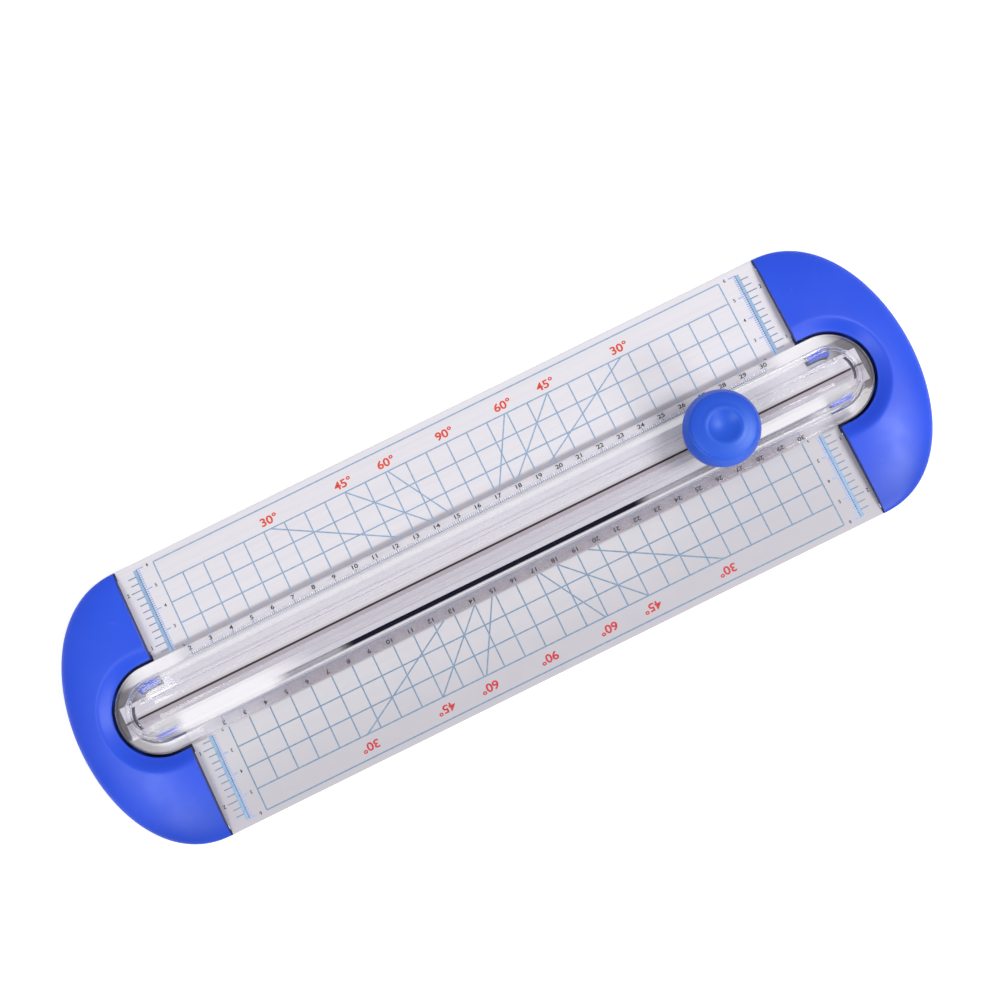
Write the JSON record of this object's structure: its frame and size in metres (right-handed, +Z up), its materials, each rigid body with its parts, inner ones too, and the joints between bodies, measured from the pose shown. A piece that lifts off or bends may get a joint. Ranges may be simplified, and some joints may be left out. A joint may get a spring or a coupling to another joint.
{
  "type": "rotary paper trimmer",
  "caption": "Rotary paper trimmer: ruled white bed with rounded blue end caps, a sprung clear guide rail and a round press-down cutter head that slides along it.",
  "frame": {"origin": "centre of the footprint, on the level the rubber feet stand on", "axes": "+X along the cut, towards the end where the cutter head rests; +Y towards the back, the side whose labels read upright; +Z up"},
  "size_m": [0.4064, 0.1264, 0.042],
  "materials": {
    "bed_white": "satin white moulded plastic",
    "sheet_print": "white sheet with a printed light blue grid",
    "strip_white": "satin white plastic",
    "cap_blue": "satin blue plastic",
    "knob_blue": "semi-gloss blue plastic",
    "rail_clear": "polished clear plastic",
    "carriage_white": "white plastic",
    "holder_green": "green plastic",
    "rubber": "matt black rubber",
    "blade_steel": "ground steel",
    "axle_steel": "ground steel",
    "spring_steel": "drawn steel wire",
    "screw_steel": "zinc-plated steel"
  },
  "bodies": {
    "base": {"base_plate": "bed_white", "scale_sheet_rear": "sheet_print", "scale_sheet_front": "sheet_print", "cutting_strip": "strip_white", "end_cap_left": "cap_blue", "end_cap_right": "cap_blue", "cap_screw_front_left": "screw_steel", "cap_screw_rear_left": "screw_steel", "cap_screw_front_right": "screw_steel", "cap_screw_rear_right": "screw_steel", "foot_front_left": "rubber", "foot_rear_left": "rubber", "foot_front_middle": "rubber", "foot_rear_middle": "rubber", "foot_front_right": "rubber", "foot_rear_right": "rubber"},
    "rail": {"guide_rail": "rail_clear"},
    "head": {"carriage": "carriage_white", "press_spring_front": "spring_steel", "press_spring_rear": "spring_steel"},
    "press_knob": {"knob": "knob_blue", "blade_holder": "holder_green", "blade_axle": "axle_steel", "holder_screw_front": "screw_steel", "holder_screw_rear": "screw_steel"},
    "blade": {"rotary_blade": "blade_steel"}
  },
  "joints": [
    {"name": "rail_press", "type": "slide", "parent": "base", "child": "rail", "axis": [0, 0, 1], "range_m": [-0.00155, 0], "stiffness_N_per_m": 400, "springref_m": 0.004},
    {"name": "head_slide", "type": "slide", "parent": "rail", "child": "head", "axis": [1, 0, 0], "range_m": [-0.2634, 0.0485]},
    {"name": "knob_press", "type": "slide", "parent": "head", "child": "press_knob", "axis": [0, 0, 1], "range_m": [-0.003, 0], "stiffness_N_per_m": 800, "springref_m": 0.003, "deforming": ["press_spring_front", "press_spring_rear"]},
    {"name": "blade_spin", "type": "hinge", "parent": "press_knob", "child": "blade", "pos_m": [0.1074, 0, 0.0232], "axis": [0, 1, 0], "continuous": true}
  ]
}
